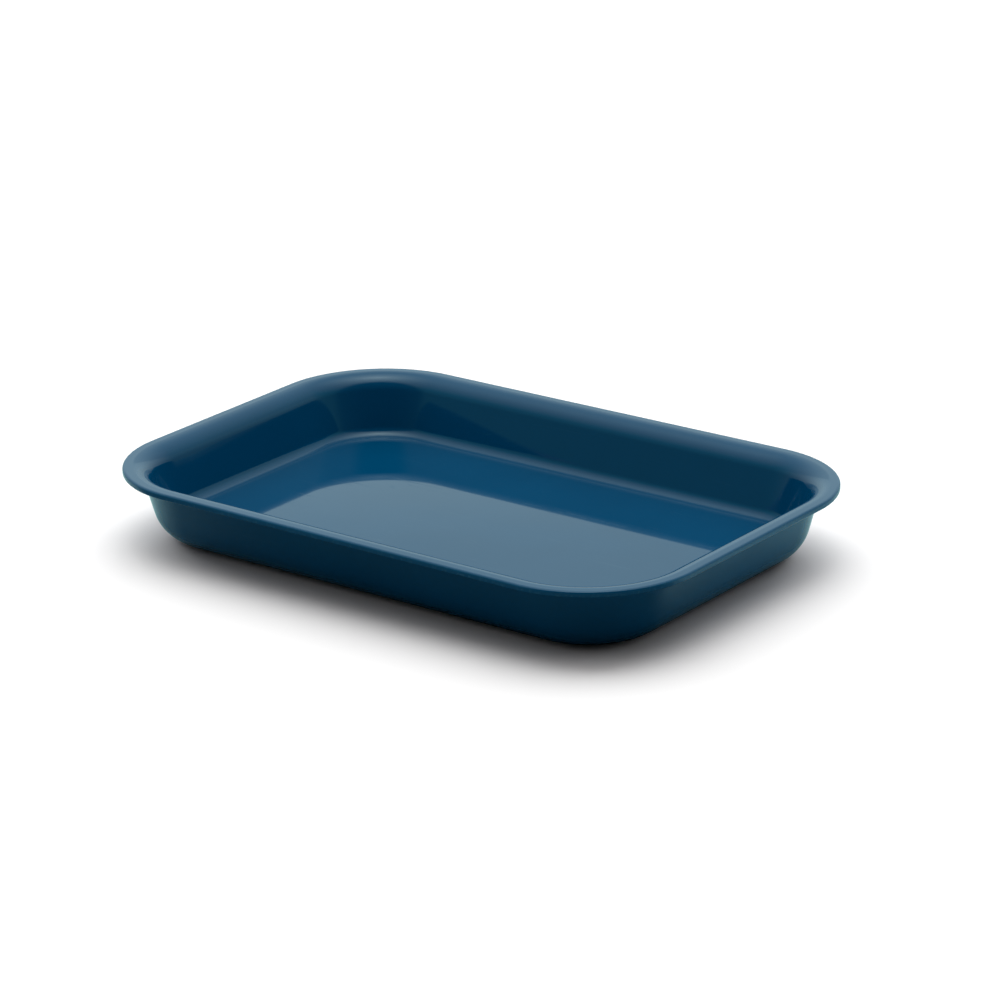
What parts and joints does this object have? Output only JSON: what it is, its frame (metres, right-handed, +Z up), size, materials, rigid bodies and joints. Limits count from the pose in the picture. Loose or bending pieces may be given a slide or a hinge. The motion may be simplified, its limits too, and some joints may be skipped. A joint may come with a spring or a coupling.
{
  "type": "mud pan",
  "caption": "Shallow open rectangular pan moulded in one piece, with drafted walls, large rounded corners, a flared rim and a flat base to stand on.",
  "frame": {"origin": "centre of the base, on the plane that the pan stands on", "axes": "+Z up out of the open top, X along the long side, Y along the short side"},
  "size_m": [0.305, 0.21, 0.035],
  "materials": {
    "pan": "gloss moulded, petrol blue"
  },
  "bodies": {
    "root": {"pan": "pan"}
  },
  "joints": []
}
